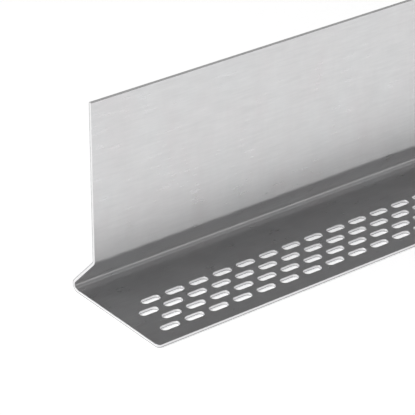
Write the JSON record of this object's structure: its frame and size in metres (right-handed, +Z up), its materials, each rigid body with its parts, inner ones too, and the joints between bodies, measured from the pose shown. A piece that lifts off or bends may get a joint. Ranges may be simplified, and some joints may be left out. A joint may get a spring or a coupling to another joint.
{
  "type": "cladding vent strip",
  "caption": "Folded metal strip for the foot of a ventilated cladding: a slotted level leg, a sloping drip nose and a plain upright.",
  "frame": {"origin": "under the middle of the strip: the centre of the bounding box, at the height of the leg's underside", "axes": "+X along the strip, +Y from the leg's free edge towards the nose, +Z up the upright"},
  "size_m": [0.3, 0.0494, 0.0765],
  "materials": {
    "sheet_metal": "plain mill-finish sheet, satin, faintly mottled"
  },
  "bodies": {
    "root": {"vent_strip": "sheet_metal"}
  },
  "joints": []
}
